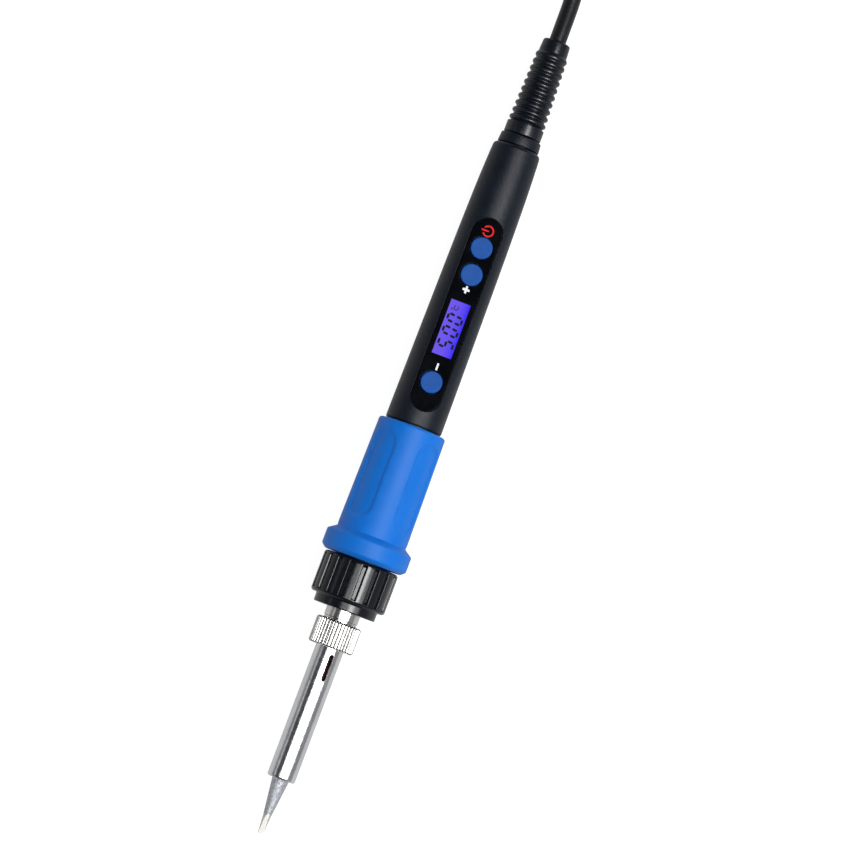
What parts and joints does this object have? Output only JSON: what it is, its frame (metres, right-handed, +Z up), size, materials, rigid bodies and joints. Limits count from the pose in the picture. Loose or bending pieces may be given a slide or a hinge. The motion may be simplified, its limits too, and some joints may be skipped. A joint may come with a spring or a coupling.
{
  "type": "soldering iron",
  "caption": "Electric soldering iron with a display and buttons in its slim handle, a flanged rubber grip, a knurled barrel nut and a mains cord tied in a hank.",
  "frame": {"origin": "on the surface that the iron lies on, under the middle of the tool's bounding box, cord left out", "axes": "+Y from the tip towards the cord, +Z up, out of the button side, +X to the right seen from above with the tip pointing at the viewer's feet"},
  "size_m": [0.0456, 0.4154, 0.0261],
  "materials": {
    "tip_metal": "iron-plated copper, oxidised grey with a tinned bright end",
    "chrome": "polished chrome plate",
    "nickel": "bright nickel plate",
    "ceramic": "unglazed white ceramic",
    "gloss_black": "glossy black moulding",
    "handle_black": "satin blue-black moulding",
    "grip_blue": "smooth satin silicone rubber",
    "boot_black": "soft black rubber",
    "cord_black": "smooth black cord sheath",
    "tie_black": "flat black strap",
    "plug_black": "moulded black plug",
    "brass": "bright brass",
    "panel_black": "mirror-gloss black face plate",
    "window": "clear acrylic",
    "lcd": "blue-violet backlit liquid crystal",
    "light_guide": "frosted clear light guide",
    "button_blue": "satin blue plastic",
    "board_green": "green solder resist",
    "component_black": "black component moulding",
    "film_yellow": "yellow capacitor case",
    "sleeve_blue": "dark blue capacitor sleeve",
    "wire_red": "red wire insulation",
    "wire_white": "white wire insulation",
    "wire_brown": "brown wire insulation",
    "wire_blue": "blue wire insulation"
  },
  "bodies": {
    "handle": {"neck_bush": "nickel", "board_screw_front": "nickel", "board_screw_rear": "nickel", "heater_rod": "ceramic", "heater_flange": "ceramic", "fuse": "ceramic", "upper_shell": "handle_black", "lower_shell": "handle_black", "rear_collar": "handle_black", "grip_sleeve": "grip_blue", "strain_relief_boot": "boot_black", "cord_end": "cord_black", "cord_lead": "cord_black", "cord_hank": "cord_black", "cord_tail": "cord_black", "cord_tie": "tie_black", "plug_body": "plug_black", "plug_blade_left": "brass", "plug_blade_right": "brass", "display_panel": "panel_black", "display_window": "window", "lcd_glass": "lcd", "lcd_backlight": "light_guide", "control_board": "board_green", "power_switch": "component_black", "plus_switch": "component_black", "minus_switch": "component_black", "triac": "component_black", "controller_chip": "component_black", "dropper_capacitor": "film_yellow", "smoothing_capacitor": "sleeve_blue", "heater_wire_1": "wire_red", "heater_wire_2": "wire_red", "sensor_wire_1": "wire_white", "sensor_wire_2": "wire_white", "live_wire": "wire_brown", "neutral_wire": "wire_blue"},
    "front_nut": {"ribbed_nut": "gloss_black"},
    "barrel": {"barrel_tube": "chrome"},
    "retaining_nut": {"knurled_nut": "nickel"},
    "tip": {"soldering_tip": "tip_metal"},
    "power_button": {"power_button": "button_blue"},
    "plus_button": {"plus_button": "button_blue"},
    "minus_button": {"minus_button": "button_blue"}
  },
  "joints": [
    {"name": "front_nut_turn", "type": "hinge", "parent": "handle", "child": "front_nut", "pos_m": [0, -0.04567, 0.0135], "axis": [0, 0.9989, -0.0471], "continuous": true},
    {"name": "barrel_slide", "type": "slide", "parent": "handle", "child": "barrel", "axis": [0, -0.9989, 0.0471], "range_m": [0, 0.08]},
    {"name": "retaining_nut_turn", "type": "hinge", "parent": "barrel", "child": "retaining_nut", "pos_m": [0, -0.06156, 0.01425], "axis": [0, 0.9989, -0.0471], "continuous": true},
    {"name": "tip_slide", "type": "slide", "parent": "handle", "child": "tip", "axis": [0, -0.9989, 0.0471], "range_m": [0, 0.04]},
    {"name": "power_button_press", "type": "slide", "parent": "handle", "child": "power_button", "axis": [0, -0.0597, -0.9982], "range_m": [0, 0.0004], "stiffness_N_per_m": 1500},
    {"name": "plus_button_press", "type": "slide", "parent": "handle", "child": "plus_button", "axis": [0, -0.0597, -0.9982], "range_m": [0, 0.0004], "stiffness_N_per_m": 1500},
    {"name": "minus_button_press", "type": "slide", "parent": "handle", "child": "minus_button", "axis": [0, -0.0597, -0.9982], "range_m": [0, 0.0004], "stiffness_N_per_m": 1500}
  ],
  "couplings": [
    {"joint": "tip_slide", "follows": "barrel_slide", "ratio": 0.5}
  ]
}
